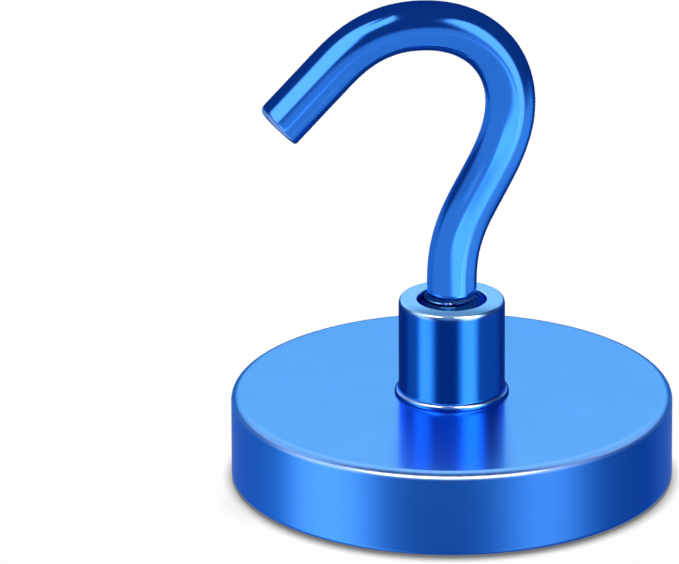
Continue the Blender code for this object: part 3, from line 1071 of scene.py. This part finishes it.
def table_material(colour):
    """Pale matt paper, evenly lit: away from the hook it turns into plain white light.

    From below it is clear, so that the magnet can be seen.
    """
    made, tree, shader = new_material("pale table")
    shader.inputs["Base Color"].default_value = solid(colour)
    shader.inputs["Roughness"].default_value = 1.0
    shader.inputs["Specular IOR Level"].default_value = 0.0
    place = object_place(tree, (-700, 300))
    distance = add_node(tree, "ShaderNodeVectorMath", (-500, 300), operation="LENGTH")
    tree.links.new(place, distance.inputs[0])
    far = add_node(
        tree, "ShaderNodeMapRange", (-300, 300), interpolation_type="SMOOTHSTEP",
        From_Min=PAPER_NEAR, From_Max=PAPER_FAR,
    )
    tree.links.new(distance.outputs["Value"], far.inputs["Value"])
    white = add_node(tree, "ShaderNodeEmission", (900, 250), Strength=1.0)
    clear = add_node(tree, "ShaderNodeBsdfTransparent", (900, 400))
    below = add_node(tree, "ShaderNodeNewGeometry", (900, 700)).outputs["Backfacing"]
    paper = add_node(tree, "ShaderNodeMixShader", (1250, 200))
    whole = add_node(tree, "ShaderNodeMixShader", (1500, 200))
    tree.links.new(far.outputs[0], paper.inputs[0])
    tree.links.new(shader.outputs[0], paper.inputs[1])
    tree.links.new(white.outputs[0], paper.inputs[2])
    tree.links.new(below, whole.inputs[0])
    tree.links.new(paper.outputs[0], whole.inputs[1])
    tree.links.new(clear.outputs[0], whole.inputs[2])
    tree.links.new(whole.outputs[0], tree.nodes["Material Output"].inputs["Surface"])
    return made


def backdrop_material():
    """Plain white light, as far away paper that is evenly lit."""
    made = bpy.data.materials.new("white backdrop")
    made.use_nodes = True
    tree = made.node_tree
    tree.nodes.clear()
    white = add_node(tree, "ShaderNodeEmission", (0, 0), Strength=1.0)
    tree.links.new(white.outputs[0], add_node(tree, "ShaderNodeOutputMaterial", (300, 0)).inputs[0])
    return made


class HOOK_OT_stage(bpy.types.Operator):
    """The table, the backdrop, the softboxes and the camera."""

    bl_idname = "hook.stage"
    bl_label = "Stage"

    def execute(self, context):
        _, _, stage = settings()
        scene = context.scene
        flat = turned([(stage.radius, -TABLE_DROP), (0, -TABLE_DROP)], STAGE_SIDES)
        table_mesh = grid_mesh("table", [(flat, {})])
        table_mesh.materials.append(table_material(stage.floor))
        table = add_object("table", table_mesh)
        far = stage.radius * BACKDROP_SHARE
        around = arc(0, 0, far, far, 90, -90, STAGE_ROWS)
        backdrop_mesh = grid_mesh("backdrop", [(turned(around, STAGE_SIDES), {})])
        backdrop_mesh.materials.append(backdrop_material())
        backdrop = add_object("backdrop", backdrop_mesh)
        for item in (table, backdrop):
            item.visible_glossy = False
            item.visible_shadow = False
        backdrop.visible_diffuse = False
        backdrop.visible_transmission = False

        light_dome("stem strip", STEM_STRIP, ["bent_hook"], DOME_RADIUS, STEM_REACH)
        light_dome("boss panel", BOSS_PANEL, ["boss"], DOME_RADIUS + DOME_SPACE, BOSS_PANEL_REACH)
        light_dome("rim strip", RIM_STRIP, ["cup_shell"], DOME_RADIUS + 2 * DOME_SPACE, RIM_REACH)
        for index, (pieces, boxes) in enumerate(SOFTBOXES.items(), 3):
            light_dome(f"{pieces[0]} light", boxes, pieces, DOME_RADIUS + index * DOME_SPACE)
        table_lamp(stage.table_light)

        world = bpy.data.worlds.new("room")
        world.use_nodes = True
        world.node_tree.nodes["Background"].inputs["Strength"].default_value = stage.room
        world.node_tree.nodes["Background"].inputs["Color"].default_value = (1, 1, 1, 1)
        world.cycles_visibility.glossy = False
        scene.world = world
        scene.view_settings.view_transform = "Standard"
        add_camera(scene)
        return {"FINISHED"}


def add_camera(scene):
    """The camera: it stands where the photograph's did, and is turned so that the picture's centre
    lies the given pixels right of and above the origin."""
    right = Vector(direction(90.0, 0.0))
    back = Vector(direction(0.0, CAMERA_ELEVATION))
    up = back.cross(right)
    pixels = CAMERA_LENS / SENSOR_WIDTH * IMAGE_WIDTH
    towards = (back * pixels - right * AIM_RIGHT - up * AIM_UP).normalized()
    level = (right - towards * right.dot(towards)).normalized()
    upright = towards.cross(level)
    turn = Matrix((level, upright, towards)).transposed().to_4x4()
    lens = bpy.data.cameras.new("camera")
    lens.lens = CAMERA_LENS
    lens.sensor_width = SENSOR_WIDTH
    lens.clip_start = 0.01
    lens.clip_end = 10.0
    camera = add_object("camera", lens)
    camera.matrix_world = Matrix.Translation(back * CAMERA_DISTANCE) @ turn
    scene.camera = camera


class HOOK_PT_panel(bpy.types.Panel):
    """The hook's operators, sizes and colours."""

    bl_idname = "HOOK_PT_panel"
    bl_label = "Magnetic hook"
    bl_space_type = "VIEW_3D"
    bl_region_type = "UI"
    bl_category = "Hook"

    def draw(self, context):
        for operator in OPERATORS:
            self.layout.operator(operator.bl_idname)
        for values in settings():
            box = self.layout.box()
            for name in values.__annotations__:
                box.prop(values, name)


OPERATORS = (HOOK_OT_cup, HOOK_OT_magnet, HOOK_OT_resin, HOOK_OT_boss, HOOK_OT_hook, HOOK_OT_stage)
CLASSES = (HookSizes, HookColours, HookStage, *OPERATORS, HOOK_PT_panel)


def register():
    for kind in CLASSES:
        bpy.utils.register_class(kind)
    bpy.types.Scene.hook_sizes = PointerProperty(type=HookSizes)
    bpy.types.Scene.hook_colours = PointerProperty(type=HookColours)
    bpy.types.Scene.hook_stage = PointerProperty(type=HookStage)


def unregister():
    del bpy.types.Scene.hook_stage
    del bpy.types.Scene.hook_colours
    del bpy.types.Scene.hook_sizes
    for kind in reversed(CLASSES):
        bpy.utils.unregister_class(kind)


def main():
    """Builds every piece and the stage."""
    register()
    bpy.ops.hook.cup()
    bpy.ops.hook.magnet()
    bpy.ops.hook.resin()
    bpy.ops.hook.boss()
    bpy.ops.hook.hook()
    bpy.ops.hook.stage()


if __name__ == "__main__":
    main()
